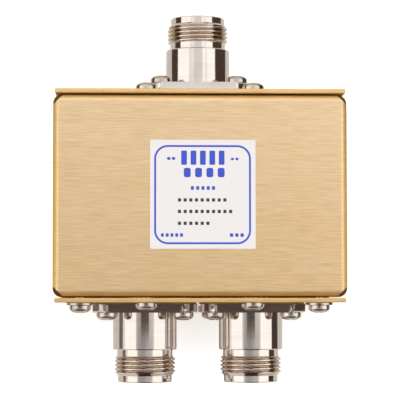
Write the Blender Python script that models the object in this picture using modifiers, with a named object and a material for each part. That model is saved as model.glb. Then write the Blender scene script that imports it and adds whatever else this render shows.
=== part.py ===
"""RF power splitter: one input and two outputs on a folded sheet metal case.

The case lies on its back. +Z points out of the front cover, +Y to the input
and -Y to the two outputs. All lengths are in metres, and the origin is at the
middle of the back face.
"""

import math

import bmesh
import bpy
from mathutils import Matrix, Vector

# Fits
SEAT_GAP = 0.0003            # between pieces that touch
HOLE_CLEARANCE = 0.0003      # round a shank, a spigot or a pin, on the radius

# Chassis: back wall and two end walls, folded from one sheet
CASE_LENGTH = 0.0540         # over the end walls
CASE_DEPTH = 0.0413          # back face to cover front
CHASSIS_WIDTH = 0.0734
CHASSIS_SHEET = 0.00127
CHASSIS_INNER_BEND = 0.0004

# Cover: front, two sides with tabs, and two lips, folded from one sheet
COVER_WIDTH = 0.0744
COVER_SHEET = 0.0010
COVER_BEND = 0.0019          # outer radius of the four bends round the front
TAB_BEND = 0.0022            # outer radius of the four corner bends
CORNER_CUT = 0.0028          # cut off each front corner, along both sides
RELIEF_SLOT = 0.0010         # between a lip and the tab beside it
HOLE_EDGE = 0.0008           # metal left round a screw hole at a free edge

# Label on the cover
LABEL_WIDTH = 0.0266
LABEL_HEIGHT = 0.0275
LABEL_CORNER = 0.0008
LABEL_THICKNESS = 0.0002
LABEL_SHIFT = (0.0006, 0.00025)

# Screws, washers and nuts
SHANK_DIAMETER = 0.0026
HEAD_DIAMETER = 0.00545
HEAD_HEIGHT = 0.0017
HEAD_RIM = 0.0006            # straight side of the head below its dome
COVER_SCREW_LENGTH = 0.0064
FLANGE_SCREW_LENGTH = 0.0079
BOARD_SCREW_LENGTH = 0.0048
WASHER_DIAMETER = 0.0070
WASHER_THICKNESS = 0.0004
NUT_ACROSS_FLATS = 0.00635
NUT_THICKNESS = 0.0024
INNER_SCREW_X = 0.0136       # cover screws beside the case's middle line
TAB_SCREW_INSET = 0.0069     # outer cover screws, in from the cover's side

# Coaxial receptacle: a shell milled and turned from round bar
FLANGE_BAR = 0.0336
FLANGE_SQUARE = 0.0269
FLANGE_THICKNESS = 0.0023
FLANGE_CHAMFER = 0.0004
FLANGE_SETBACK = 0.0074      # from the cover front back to the flange's edge
FLANGE_HOLE_PITCH = 0.0195
OUTPUT_FLANGE_GAP = 0.0009   # between the two output flanges
BODY_DIAMETER = 0.01665
BODY_LENGTH = 0.0097
UNDERCUT_DIAMETER = 0.0145
UNDERCUT_LENGTH = 0.0020
THREAD_DIAMETER = 0.01588
THREAD_LENGTH = 0.0043
TIP_DIAMETER = 0.0141
TIP_LENGTH = 0.0022
EDGE_BREAK = 0.00025         # small turned chamfers
MOUTH_DIAMETER = 0.0084
MOUTH_DEPTH = 0.00905
MOUTH_CHAMFER = 0.0004
BORE_DIAMETER = 0.0070
SPIGOT_DIAMETER = 0.0094
SPIGOT_LENGTH = 0.0022       # behind the flange, through the wall
CONTACT_DIAMETER = 0.00304
CONTACT_RECESS = 0.00475     # contact tip, back from the shell's mouth
CONTACT_HOLE = 0.0017
CONTACT_HOLE_DEPTH = 0.0052
CONTACT_SLOT = 0.00035
CONTACT_SLOT_DEPTH = 0.0042
PIN_DIAMETER = 0.0016
PIN_LENGTH = 0.0033          # solder pin behind the insulator

# Circuit inside the case
BOARD_WIDTH = 0.0440
BOARD_LENGTH = 0.0340
BOARD_THICKNESS = 0.0016
BOARD_CORNER = 0.0015
STANDOFF_HEIGHT = 0.0076
STANDOFF_DIAMETER = 0.0050
STANDOFF_INSET = 0.0035      # in from the board's two short edges
CORE_RADIUS = 0.0034         # middle of the ring
CORE_SECTION = 0.0028        # diameter of the ring's section
CORE_GAP = 0.0014            # between the two windings
CORE_MIDDLE_Y = 0.0006
WINDING_WIRE = 0.0006
WINDING_TURNS = 7
WINDING_SWEEP = math.radians(290)
LEAD_DIAMETER = 0.0010
LEAD_BEND = 0.0030
LEAD_FOOT_INSET = 0.0022     # where a lead meets the board, in from its edge
RESISTOR_DIAMETER = 0.0024
RESISTOR_LENGTH = 0.0064
RESISTOR_LEAD = 0.0006
RESISTOR_SPAN = 0.0110       # between its two feet
RESISTOR_RISE = 0.0026       # axis above the board
RESISTOR_EDGE = 0.0028       # in from the board's edge at the outputs
CAPACITOR_SIZE = (0.0064, 0.0028, 0.0052)
CAPACITOR_ROUND = 0.0009
CAPACITOR_X = 0.0135

# Smoothness of round shapes
SHELL_STEPS = 32
SCREW_STEPS = 16
DOME_STEPS = 3
SMALL_STEPS = 16
BEND_STEPS = 4
HOLE_STEPS = 12
COIL_STEPS = 6               # points in each turn of a winding
SECTION_STEPS = 10           # round the section of a ring core
SHARP_ANGLE = math.radians(35)
HEXAGON_TURN = math.radians(30)
WELD = 1e-6

# Places that follow from the sizes above
WALL_Y = CASE_LENGTH / 2
COVER_HALF = WALL_Y - CHASSIS_SHEET - SEAT_GAP
COVER_FOOT = CHASSIS_SHEET + max(SEAT_GAP, CHASSIS_INNER_BEND)
TAB_TOP = CASE_DEPTH - COVER_BEND - SEAT_GAP
HOLE_DIAMETER = SHANK_DIAMETER + 2 * HOLE_CLEARANCE

# The flanges lie a set-back behind the cover's front, with their nuts clear of the back wall
NUT_CLEAR_Z = CHASSIS_SHEET + SEAT_GAP + (NUT_ACROSS_FLATS + FLANGE_HOLE_PITCH) / 2
PORT_Z = max(CASE_DEPTH - FLANGE_SETBACK - FLANGE_SQUARE / 2, NUT_CLEAR_Z)
OUTPUT_X = (FLANGE_SQUARE + OUTPUT_FLANGE_GAP) / 2
COVER_SCREW_Z = PORT_Z + FLANGE_SQUARE / 2 + SEAT_GAP + HEAD_DIAMETER / 2
TAB_SCREW_X = COVER_WIDTH / 2 - TAB_SCREW_INSET
LIP_EDGE_Z = COVER_SCREW_Z - HOLE_DIAMETER / 2 - HOLE_EDGE

# A tab has metal round its screw hole, and passes the nuts of an output flange below it
TAB_EDGE_X = TAB_SCREW_X - HOLE_DIAMETER / 2 - HOLE_EDGE
NUT_CORNER_X = OUTPUT_X + FLANGE_HOLE_PITCH / 2 + NUT_ACROSS_FLATS / math.sqrt(3)
TAB_LOWER_X = max(TAB_EDGE_X, NUT_CORNER_X + SEAT_GAP)

FLANGE_TOP = SEAT_GAP + FLANGE_THICKNESS
BODY_TOP = FLANGE_TOP + BODY_LENGTH
UNDERCUT_TOP = BODY_TOP + UNDERCUT_LENGTH
THREAD_TOP = UNDERCUT_TOP + THREAD_LENGTH
SHELL_TOP = THREAD_TOP + TIP_LENGTH
SPIGOT_END = SEAT_GAP - SPIGOT_LENGTH
INSULATOR_TOP = SHELL_TOP - MOUTH_DEPTH
CONTACT_TOP = SHELL_TOP - CONTACT_RECESS
PIN_END = SPIGOT_END - PIN_LENGTH

BOARD_BOTTOM = CHASSIS_SHEET + SEAT_GAP + STANDOFF_HEIGHT + SEAT_GAP
BOARD_TOP = BOARD_BOTTOM + BOARD_THICKNESS
STANDOFF_X = BOARD_WIDTH / 2 - STANDOFF_INSET
WINDING_RADIUS = CORE_SECTION / 2 + SEAT_GAP + WINDING_WIRE / 2
CORE_Z = BOARD_TOP + SEAT_GAP + WINDING_RADIUS + WINDING_WIRE / 2
CORE_OFFSET = CORE_RADIUS + WINDING_RADIUS + WINDING_WIRE / 2 + CORE_GAP / 2


def clear_scene():
    """Remove every object, so that the model starts empty."""
    for old in list(bpy.data.objects):
        bpy.data.objects.remove(old, do_unlink=True)


def new_collection(name):
    """A collection linked to the scene."""
    collection = bpy.data.collections.new(name)
    bpy.context.scene.collection.children.link(collection)
    return collection


def finish(name, colour, roughness, metallic):
    """A Principled material of one colour."""
    material = bpy.data.materials.new(name)
    material.use_nodes = True
    shader = material.node_tree.nodes["Principled BSDF"]
    shader.inputs["Base Color"].default_value = (*colour, 1.0)
    shader.inputs["Roughness"].default_value = roughness
    shader.inputs["Metallic"].default_value = metallic
    material.diffuse_color = (*colour, 1.0)
    return material


def smooth(mesh):
    """Shade round faces smooth and keep the sharp edges sharp."""
    mesh.shade_smooth()
    mesh.set_sharp_from_angle(angle=SHARP_ANGLE)
    return mesh


def mesh_from(bm, name):
    """Turn a bmesh into a mesh."""
    bmesh.ops.recalc_face_normals(bm, faces=bm.faces)
    mesh = bpy.data.meshes.new(name)
    bm.to_mesh(mesh)
    bm.free()
    return smooth(mesh)


def evaluated(obj):
    """The mesh that an object's modifiers or curve settings give."""
    depsgraph = bpy.context.evaluated_depsgraph_get()
    mesh = bpy.data.meshes.new_from_object(obj.evaluated_get(depsgraph))
    bpy.data.objects.remove(obj, do_unlink=True)
    return mesh


def helper(name, data):
    """A short-lived object that a mesh is worked out from."""
    obj = bpy.data.objects.new(name, data)
    bpy.context.scene.collection.objects.link(obj)
    return obj


def weld(mesh):
    """Join the loose caps of a curve's mesh to its sides."""
    bm = bmesh.new()
    bm.from_mesh(mesh)
    bmesh.ops.remove_doubles(bm, verts=bm.verts, dist=WELD)
    return mesh_from(bm, mesh.name)


def turned(name, profile, steps):
    """Turn (radius, height) points about Z.

    The profile runs down its outer side. It closes on itself unless it starts
    and ends on the axis.
    """
    points = [(radius, 0.0, height) for radius, height in profile]
    edges = [(i, i + 1) for i in range(len(points) - 1)]
    if profile[0][0] > 0.0:
        edges.append((len(points) - 1, 0))
    outline = bpy.data.meshes.new(name)
    outline.from_pydata(points, edges, [])
    blank = helper(name, outline)
    screw = blank.modifiers.new("turn", "SCREW")
    screw.axis = "Z"
    screw.angle = 2 * math.pi
    screw.steps = steps
    screw.render_steps = steps
    screw.use_merge_vertices = True
    screw.merge_threshold = WELD
    return smooth(evaluated(blank))


def block(low, high):
    """A box between two corners, as a bmesh."""
    low = Vector(low)
    high = Vector(high)
    place = Matrix.Translation((low + high) / 2) @ Matrix.Diagonal((*(high - low), 1.0))
    bm = bmesh.new()
    bmesh.ops.create_cube(bm, size=1.0, matrix=place)
    return bm


def add_rod(bm, start, end, diameter, steps):
    """Add a cylinder between two points to a bmesh."""
    start = Vector(start)
    end = Vector(end)
    turn = (end - start).to_track_quat("Z", "Y").to_matrix().to_4x4()
    bmesh.ops.create_cone(
        bm,
        cap_ends=True,
        segments=steps,
        radius1=diameter / 2,
        radius2=diameter / 2,
        depth=(end - start).length,
        matrix=Matrix.Translation((start + end) / 2) @ turn,
    )


def outline_prism(name, points, thickness):
    """A flat outline, as a filled curve with thickness to both sides of Z = 0."""
    curve = bpy.data.curves.new(name, "CURVE")
    curve.dimensions = "2D"
    curve.fill_mode = "BOTH"
    curve.extrude = thickness / 2
    spline = curve.splines.new("POLY")
    spline.points.add(len(points) - 1)
    for point, (x, y) in zip(spline.points, points):
        point.co = (x, y, 0.0, 1.0)
    spline.use_cyclic_u = True
    return weld(evaluated(helper(name, curve)))


def rounded_rectangle(width, height, radius):
    """Corner arcs of a rectangle's outline, anticlockwise."""
    points = []
    for quarter in range(4):
        side_x = 1 if quarter in (0, 3) else -1
        side_y = 1 if quarter in (0, 1) else -1
        centre = (side_x * (width / 2 - radius), side_y * (height / 2 - radius))
        for step in range(BEND_STEPS + 1):
            angle = math.pi / 2 * (quarter + step / BEND_STEPS)
            x = centre[0] + radius * math.cos(angle)
            y = centre[1] + radius * math.sin(angle)
            points.append((x, y))
    return points


def wire(name, points, diameter):
    """A round wire with closed ends along a run of points."""
    curve = bpy.data.curves.new(name, "CURVE")
    curve.dimensions = "3D"
    curve.bevel_depth = diameter / 2
    curve.bevel_resolution = 2
    curve.use_fill_caps = True
    spline = curve.splines.new("POLY")
    spline.points.add(len(points) - 1)
    for point, place in zip(spline.points, points):
        point.co = (*place, 1.0)
    return weld(evaluated(helper(name, curve)))


def combined(mesh, tool, operation):
    """One mesh cut, crossed or joined with another."""
    base = helper(mesh.name, mesh)
    other = helper(tool.name, tool)
    boolean = base.modifiers.new(operation.lower(), "BOOLEAN")
    boolean.operation = operation
    boolean.object = other
    result = evaluated(base)
    bpy.data.objects.remove(other, do_unlink=True)
    return smooth(result)


def place(name, mesh, material, parent=None, location=(0.0, 0.0, 0.0)):
    """Put a part in the model under its own name."""
    obj = bpy.data.objects.new(name, mesh)
    obj.location = location
    obj.parent = parent
    if not mesh.materials:
        mesh.materials.append(material)
    PARTS.objects.link(obj)
    return obj


def fold(bm, edges, radius):
    """Round sharp fold lines to a bend of the given outer radius."""
    bmesh.ops.bevel(
        bm,
        geom=edges,
        offset=radius,
        segments=BEND_STEPS,
        profile=0.5,
        affect="EDGES",
        clamp_overlap=False,
    )


def open_faces(bm, directions):
    """Take away the faces of a box that look along the given directions."""
    bm.normal_update()
    gone = [face for face in bm.faces if any(face.normal.dot(Vector(way)) > 0.9 for way in directions)]
    bmesh.ops.delete(bm, geom=gone, context="FACES")


def sheet(bm, name, thickness):
    """Give an open outer surface its sheet thickness, inwards."""
    surface = bpy.data.meshes.new(name)
    bm.to_mesh(surface)
    bm.free()
    blank = helper(name, surface)
    solidify = blank.modifiers.new("sheet", "SOLIDIFY")
    solidify.thickness = thickness
    solidify.offset = -1.0
    solidify.use_even_offset = True
    return evaluated(blank)


def port_places():
    """Name, X and end wall (+1 input, -1 outputs) of the three receptacles."""
    return (
        ("input", 0.0, 1),
        ("output_left", -OUTPUT_X, -1),
        ("output_right", OUTPUT_X, -1),
    )


def flange_corners():
    """The four fixing hole centres of a receptacle flange, across its axis."""
    half = FLANGE_HOLE_PITCH / 2
    return [(side_x * half, side_y * half) for side_x in (-1, 1) for side_y in (-1, 1)]


def cover_screw_places():
    """Name, X, end wall and washer of the screws that hold the cover."""
    return (
        ("input_left", -INNER_SCREW_X, 1, False),
        ("input_right", INNER_SCREW_X, 1, False),
        ("output_inner_left", -INNER_SCREW_X, -1, False),
        ("output_inner_right", INNER_SCREW_X, -1, False),
        ("output_outer_left", -TAB_SCREW_X, -1, True),
        ("output_outer_right", TAB_SCREW_X, -1, True),
    )


def end_wall_rod(bm, x, z, end, diameter):
    """A hole tool along Y that passes one end wall and the sheet behind it."""
    inner = WALL_Y - CHASSIS_SHEET - SEAT_GAP - 2 * COVER_SHEET
    outer = WALL_Y + CHASSIS_SHEET
    add_rod(bm, (x, end * inner, z), (x, end * outer, z), diameter, HOLE_STEPS)


def build_chassis(material):
    """Back wall and end walls: a U of sheet with two bends along X."""
    low = (-CHASSIS_WIDTH / 2, -WALL_Y, 0.0)
    high = (CHASSIS_WIDTH / 2, WALL_Y, CASE_DEPTH)
    bm = block(low, high)
    open_faces(bm, ((1, 0, 0), (-1, 0, 0), (0, 0, 1)))
    folds = [edge for edge in bm.edges if len(edge.link_faces) == 2]
    fold(bm, folds, CHASSIS_SHEET + CHASSIS_INNER_BEND)
    chassis = sheet(bm, "chassis", CHASSIS_SHEET)

    holes = bmesh.new()
    for _, x, end in port_places():
        end_wall_rod(holes, x, PORT_Z, end, SPIGOT_DIAMETER + 2 * HOLE_CLEARANCE)
        for dx, dz in flange_corners():
            end_wall_rod(holes, x + dx, PORT_Z + dz, end, HOLE_DIAMETER)
    for _, x, end, _ in cover_screw_places():
        end_wall_rod(holes, x, COVER_SCREW_Z, end, HOLE_DIAMETER)
    chassis = combined(chassis, mesh_from(holes, "chassis_holes"), "DIFFERENCE")
    place("chassis", chassis, material)


def corner_tool():
    """Four blocks turned by 45 degrees that cut the cover's front corners."""
    tools = bmesh.new()
    reach = CORNER_CUT / math.sqrt(2)
    for side_x in (-1, 1):
        for side_y in (-1, 1):
            corner = Vector((side_x * COVER_WIDTH / 2, side_y * COVER_HALF, TAB_TOP))
            turn = Matrix.Rotation(math.atan2(side_y, side_x), 4, "Z")
            size = Matrix.Diagonal((2 * reach, 4 * reach, 4 * COVER_BEND, 1.0))
            lift = Matrix.Translation((0.0, 0.0, 2 * COVER_BEND))
            matrix = Matrix.Translation(corner) @ turn @ lift @ size
            bmesh.ops.create_cube(tools, size=1.0, matrix=matrix)
    return mesh_from(tools, "cover_corners")


def lip_relief_outline():
    """Outline in X and Z of what one end of the cover lacks.

    It leaves a short lip in the middle, a full tab at each corner, a slot
    between them, and a slit between the tab and the front bend over it.
    """
    below = COVER_FOOT - COVER_SHEET
    lip_x = TAB_EDGE_X - RELIEF_SLOT
    slit_x = COVER_WIDTH / 2 - CORNER_CUT + COVER_SHEET
    bend_z = CASE_DEPTH - COVER_BEND
    right = [
        (lip_x, LIP_EDGE_Z),
        (lip_x, bend_z),
        (slit_x, bend_z),
        (slit_x, TAB_TOP),
        (TAB_EDGE_X, TAB_TOP),
    ]
    if TAB_LOWER_X > TAB_EDGE_X:
        right += [(TAB_EDGE_X, LIP_EDGE_Z), (TAB_LOWER_X, LIP_EDGE_Z)]
    right.append((TAB_LOWER_X, below))
    left = [(-x, z) for x, z in reversed(right)]
    return right + left


def build_cover(material):
    """Front, sides, lips and tabs, folded from one sheet."""
    low = (-COVER_WIDTH / 2, -COVER_HALF, COVER_FOOT)
    high = (COVER_WIDTH / 2, COVER_HALF, CASE_DEPTH)
    bm = block(low, high)
    open_faces(bm, ((0, 0, -1),))
    upright = [e for e in bm.edges if abs((e.verts[0].co - e.verts[1].co).normalized().z) > 0.9]
    fold(bm, upright, TAB_BEND)
    bm.normal_update()
    front = max(bm.faces, key=lambda face: face.calc_center_median().z)
    fold(bm, list(front.edges), COVER_BEND)
    cover = combined(sheet(bm, "cover", COVER_SHEET), corner_tool(), "DIFFERENCE")

    for end in (1, -1):
        relief = outline_prism("end_relief", lip_relief_outline(), 3 * COVER_SHEET)
        upright_turn = Matrix.Rotation(math.pi / 2, 4, "X")
        relief.transform(Matrix.Translation((0.0, end * COVER_HALF, 0.0)) @ upright_turn)
        cover = combined(cover, relief, "DIFFERENCE")
    holes = bmesh.new()
    for _, x, end, _ in cover_screw_places():
        end_wall_rod(holes, x, COVER_SCREW_Z, end, HOLE_DIAMETER)
    cover = combined(cover, mesh_from(holes, "cover_holes"), "DIFFERENCE")
    place("cover", cover, material)


def build_label(material):
    """Printed plate stuck on the cover's front."""
    outline = rounded_rectangle(LABEL_WIDTH, LABEL_HEIGHT, LABEL_CORNER)
    mesh = outline_prism("label", outline, LABEL_THICKNESS)
    height = CASE_DEPTH + SEAT_GAP + LABEL_THICKNESS / 2
    place("label", mesh, material, location=(*LABEL_SHIFT, height))


def pan_screw(name, length):
    """Domed pan head above Z = 0 and a plain shank below it."""
    radius = HEAD_DIAMETER / 2
    dome = HEAD_HEIGHT - HEAD_RIM
    profile = []
    for step in range(DOME_STEPS + 1):
        angle = math.pi / 2 * step / DOME_STEPS
        profile.append((radius * math.sin(angle), HEAD_RIM + dome * math.cos(angle)))
    shank = SHANK_DIAMETER / 2
    profile += [(radius, 0.0), (shank, 0.0), (shank, -length), (0.0, -length)]
    return turned(name, profile, SCREW_STEPS)


def ring(name, outer, inner, low, high, steps):
    """A plain turned ring between two heights."""
    profile = [(inner / 2, high), (outer / 2, high), (outer / 2, low), (inner / 2, low)]
    return turned(name, profile, steps)


def hex_nut():
    """Hexagon nut between Z = 0 and its thickness, with flats towards +Y and -Y."""
    across_corners = 2 * NUT_ACROSS_FLATS / math.sqrt(3)
    blank = bmesh.new()
    add_rod(blank, (0.0, 0.0, 0.0), (0.0, 0.0, NUT_THICKNESS), across_corners, 6)
    to_flat = Matrix.Rotation(HEXAGON_TURN, 3, "Z")
    bmesh.ops.rotate(blank, verts=blank.verts, matrix=to_flat)
    hole = bmesh.new()
    add_rod(hole, (0.0, 0.0, -NUT_THICKNESS), (0.0, 0.0, 2 * NUT_THICKNESS), HOLE_DIAMETER,
            HOLE_STEPS)
    return combined(mesh_from(blank, "hex_nut"), mesh_from(hole, "nut_hole"), "DIFFERENCE")


def receptacle_shell():
    """Shell turned from round bar, with its flange milled square and drilled.

    Heights count outwards from the case wall. The outside runs from the mouth
    down over tip, thread, undercut, body, flange and spigot, and the inside
    back up through the bore to the mouth.
    """
    tip = TIP_DIAMETER / 2
    thread = THREAD_DIAMETER / 2
    undercut = UNDERCUT_DIAMETER / 2
    body = BODY_DIAMETER / 2
    bar = FLANGE_BAR / 2
    spigot = SPIGOT_DIAMETER / 2
    bore = BORE_DIAMETER / 2
    mouth = MOUTH_DIAMETER / 2
    profile = [
        (mouth + MOUTH_CHAMFER, SHELL_TOP),
        (tip - EDGE_BREAK, SHELL_TOP),
        (tip, SHELL_TOP - EDGE_BREAK),
        (tip, THREAD_TOP),
        (thread, THREAD_TOP - (thread - tip)),
        (thread, UNDERCUT_TOP + (thread - undercut) / 2),
        (undercut, UNDERCUT_TOP),
        (undercut, BODY_TOP),
        (body - EDGE_BREAK, BODY_TOP),
        (body, BODY_TOP - EDGE_BREAK),
        (body, FLANGE_TOP),
        (bar - FLANGE_CHAMFER, FLANGE_TOP),
        (bar, FLANGE_TOP - FLANGE_CHAMFER),
        (bar, SEAT_GAP + FLANGE_CHAMFER),
        (bar - FLANGE_CHAMFER, SEAT_GAP),
        (spigot, SEAT_GAP),
        (spigot, SPIGOT_END),
        (bore, SPIGOT_END),
        (bore, INSULATOR_TOP),
        (mouth, INSULATOR_TOP),
        (mouth, SHELL_TOP - MOUTH_CHAMFER),
    ]
    shell = turned("receptacle_shell", profile, SHELL_STEPS)

    half = FLANGE_SQUARE / 2
    square = block((-half, -half, SPIGOT_END - BODY_LENGTH), (half, half, SHELL_TOP + BODY_LENGTH))
    shell = combined(shell, mesh_from(square, "flange_square"), "INTERSECT")
    holes = bmesh.new()
    for x, y in flange_corners():
        add_rod(holes, (x, y, SEAT_GAP - FLANGE_THICKNESS), (x, y, FLANGE_TOP + FLANGE_THICKNESS),
                HOLE_DIAMETER, HOLE_STEPS)
    return combined(shell, mesh_from(holes, "flange_holes"), "DIFFERENCE")


def receptacle_insulator():
    """White plastic bead that holds the contact in the shell's bore."""
    outer = BORE_DIAMETER - 2 * HOLE_CLEARANCE
    inner = CONTACT_DIAMETER + 2 * HOLE_CLEARANCE
    return ring("insulator", outer, inner, SPIGOT_END, INSULATOR_TOP, SMALL_STEPS)


def receptacle_contact():
    """Socket contact with four fingers, and a solder pin at its back."""
    radius = CONTACT_DIAMETER / 2
    hole = CONTACT_HOLE / 2
    pin = PIN_DIAMETER / 2
    hole_end = CONTACT_TOP - CONTACT_HOLE_DEPTH
    lead_in = (radius - hole) / 2
    profile = [
        (0.0, hole_end),
        (hole, hole_end),
        (hole, CONTACT_TOP - lead_in),
        (hole + lead_in, CONTACT_TOP),
        (radius - EDGE_BREAK, CONTACT_TOP),
        (radius, CONTACT_TOP - EDGE_BREAK),
        (radius, SPIGOT_END - SEAT_GAP),
        (pin, SPIGOT_END - SEAT_GAP),
        (pin, PIN_END + EDGE_BREAK),
        (pin - EDGE_BREAK, PIN_END),
        (0.0, PIN_END),
    ]
    contact = turned("contact", profile, SMALL_STEPS)
    low_z = CONTACT_TOP - CONTACT_SLOT_DEPTH
    high_z = CONTACT_TOP + CONTACT_SLOT_DEPTH
    for wide, deep in ((CONTACT_SLOT / 2, 2 * radius), (2 * radius, CONTACT_SLOT / 2)):
        slot = block((-wide, -deep, low_z), (wide, deep, high_z))
        contact = combined(contact, mesh_from(slot, "finger_slot"), "DIFFERENCE")
    return contact


def end_frame(name, x, z, end):
    """An empty on an end wall's outer face, with its +Z pointing out of the case."""
    frame = bpy.data.objects.new(name, None)
    frame.empty_display_size = SPIGOT_LENGTH
    frame.location = (x, end * WALL_Y, z)
    frame.rotation_euler = (-end * math.pi / 2, 0.0, 0.0)
    PARTS.objects.link(frame)
    return frame


def build_receptacles(plated, plastic, contact_metal, steel):
    """The three receptacles, each with four screws and four nuts."""
    shell = receptacle_shell()
    insulator = receptacle_insulator()
    contact = receptacle_contact()
    screw = pan_screw("flange_screw", FLANGE_SCREW_LENGTH)
    nut = hex_nut()
    nut_base = -CHASSIS_SHEET - SEAT_GAP - NUT_THICKNESS
    for port, x, end in port_places():
        frame = end_frame(f"{port}_port", x, PORT_Z, end)
        place(f"{port}_shell", shell, plated, frame)
        place(f"{port}_insulator", insulator, plastic, frame)
        place(f"{port}_contact", contact, contact_metal, frame)
        for number, (dx, dy) in enumerate(flange_corners(), start=1):
            seat = (dx, dy, FLANGE_TOP + SEAT_GAP)
            place(f"{port}_flange_screw_{number}", screw, steel, frame, seat)
            place(f"{port}_flange_nut_{number}", nut, steel, frame, (dx, dy, nut_base))


def build_cover_screws(steel):
    """Six screws through the end walls, the two outer ones with washers."""
    screw = pan_screw("cover_screw", COVER_SCREW_LENGTH)
    washer = ring("washer", WASHER_DIAMETER, HOLE_DIAMETER, 0.0, WASHER_THICKNESS, SMALL_STEPS)
    for label, x, end, has_washer in cover_screw_places():
        frame = end_frame(f"{label}_screw_seat", x, COVER_SCREW_Z, end)
        seat = SEAT_GAP
        if has_washer:
            place(f"{label}_washer", washer, steel, frame, (0.0, 0.0, seat))
            seat += WASHER_THICKNESS + SEAT_GAP
        place(f"{label}_cover_screw", screw, steel, frame, (0.0, 0.0, seat))


def build_board(laminate, brass, steel):
    """Circuit board on two standoffs, with a screw in each."""
    outline = rounded_rectangle(BOARD_WIDTH, BOARD_LENGTH, BOARD_CORNER)
    board = outline_prism("circuit_board", outline, BOARD_THICKNESS)
    holes = bmesh.new()
    for side in (-1, 1):
        x = side * STANDOFF_X
        add_rod(holes, (x, 0.0, -BOARD_THICKNESS), (x, 0.0, BOARD_THICKNESS),
                HOLE_DIAMETER, HOLE_STEPS)
    board = combined(board, mesh_from(holes, "board_holes"), "DIFFERENCE")
    place("circuit_board", board, laminate, location=(0.0, 0.0, BOARD_BOTTOM + BOARD_THICKNESS / 2))

    standoff = ring("standoff", STANDOFF_DIAMETER, HOLE_DIAMETER, 0.0, STANDOFF_HEIGHT, SMALL_STEPS)
    screw = pan_screw("board_screw", BOARD_SCREW_LENGTH)
    for side, label in ((-1, "left"), (1, "right")):
        x = side * STANDOFF_X
        foot = CHASSIS_SHEET + SEAT_GAP
        place(f"{label}_standoff", standoff, brass, location=(x, 0.0, foot))
        place(f"{label}_board_screw", screw, steel, location=(x, 0.0, BOARD_TOP + SEAT_GAP))


def winding_points():
    """A coil that wraps round the ring core's section as it runs round the ring."""
    steps = COIL_STEPS * WINDING_TURNS
    points = []
    for step in range(steps + 1):
        share = step / steps
        along = WINDING_SWEEP * (share - 0.5)
        around = 2 * math.pi * WINDING_TURNS * share
        reach = CORE_RADIUS + WINDING_RADIUS * math.cos(around)
        points.append((reach * math.cos(along), reach * math.sin(along),
                       WINDING_RADIUS * math.sin(around)))
    return points


def build_transformers(ferrite, copper):
    """Two ring cores with their windings, flat on the board."""
    section = []
    for step in range(SECTION_STEPS):
        angle = -2 * math.pi * step / SECTION_STEPS
        x = CORE_RADIUS + CORE_SECTION / 2 * math.cos(angle)
        section.append((x, CORE_SECTION / 2 * math.sin(angle)))
    ring_core = turned("ring_core", section, SMALL_STEPS)
    winding = wire("winding", winding_points(), WINDING_WIRE)
    for label, side in (("matching", 1), ("splitting", -1)):
        seat = (0.0, CORE_MIDDLE_Y + side * CORE_OFFSET, CORE_Z)
        place(f"{label}_core", ring_core, ferrite, location=seat)
        place(f"{label}_winding", winding, copper, location=seat)


def bent_points(corners, radius):
    """Points along straight runs between corners, with the corners rounded.

    Each corner is a quarter of an ellipse-like arc made by a quadratic curve
    between the two points that lie one radius before and after it.
    """
    points = [Vector(corners[0])]
    for before, corner, after in zip(corners, corners[1:], corners[2:]):
        corner = Vector(corner)
        start = corner + (Vector(before) - corner).normalized() * radius
        end = corner + (Vector(after) - corner).normalized() * radius
        for step in range(BEND_STEPS + 1):
            share = step / BEND_STEPS
            left = start.lerp(corner, share)
            right = corner.lerp(end, share)
            points.append(left.lerp(right, share))
    points.append(Vector(corners[-1]))
    return points


def build_leads(copper):
    """A stiff wire from each receptacle's pin down to the board."""
    pin_y = WALL_Y + PIN_END - SEAT_GAP
    foot_y = BOARD_LENGTH / 2 - LEAD_FOOT_INSET
    for port, x, end in port_places():
        corners = (
            (x, end * pin_y, PORT_Z),
            (x, end * foot_y, PORT_Z),
            (x, end * foot_y, BOARD_TOP + SEAT_GAP),
        )
        bend = min(LEAD_BEND, 0.9 * (pin_y - foot_y))
        place(f"{port}_lead", wire("lead", bent_points(corners, bend), LEAD_DIAMETER), copper)


def build_resistor(ceramic):
    """Isolation resistor across the outputs, standing on its two bent leads."""
    half = RESISTOR_LENGTH / 2
    radius = RESISTOR_DIAMETER / 2
    profile = [(0.0, half)]
    for step in range(1, 5):
        angle = math.pi / 2 * step / 4
        profile.append((radius * math.sin(angle), half - radius / 2 * (1 - math.cos(angle))))
    profile += [(x, -z) for x, z in reversed(profile)]
    body = turned("resistor_body", profile, SMALL_STEPS)
    body.transform(Matrix.Rotation(math.pi / 2, 4, "Y"))
    foot = RESISTOR_SPAN / 2
    corners = ((-foot, 0.0, -RESISTOR_RISE), (-foot, 0.0, 0.0), (foot, 0.0, 0.0),
               (foot, 0.0, -RESISTOR_RISE))
    leads = wire("resistor_leads", bent_points(corners, 2 * RESISTOR_LEAD), RESISTOR_LEAD)
    resistor = combined(body, leads, "UNION")
    seat = (0.0, -BOARD_LENGTH / 2 + RESISTOR_EDGE, BOARD_TOP + SEAT_GAP + RESISTOR_RISE)
    place("isolation_resistor", resistor, ceramic, location=seat)


def build_capacitor(plastic):
    """Moulded block capacitor that tunes the input match."""
    width, depth, height = CAPACITOR_SIZE
    bm = block((-width / 2, -depth / 2, 0.0), (width / 2, depth / 2, height))
    bmesh.ops.bevel(bm, geom=list(bm.edges), offset=CAPACITOR_ROUND, segments=3, profile=0.5,
                    affect="EDGES")
    seat = (CAPACITOR_X, CORE_MIDDLE_Y + CORE_OFFSET, BOARD_TOP + SEAT_GAP)
    place("matching_capacitor", mesh_from(bm, "capacitor"), plastic, location=seat)


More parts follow.
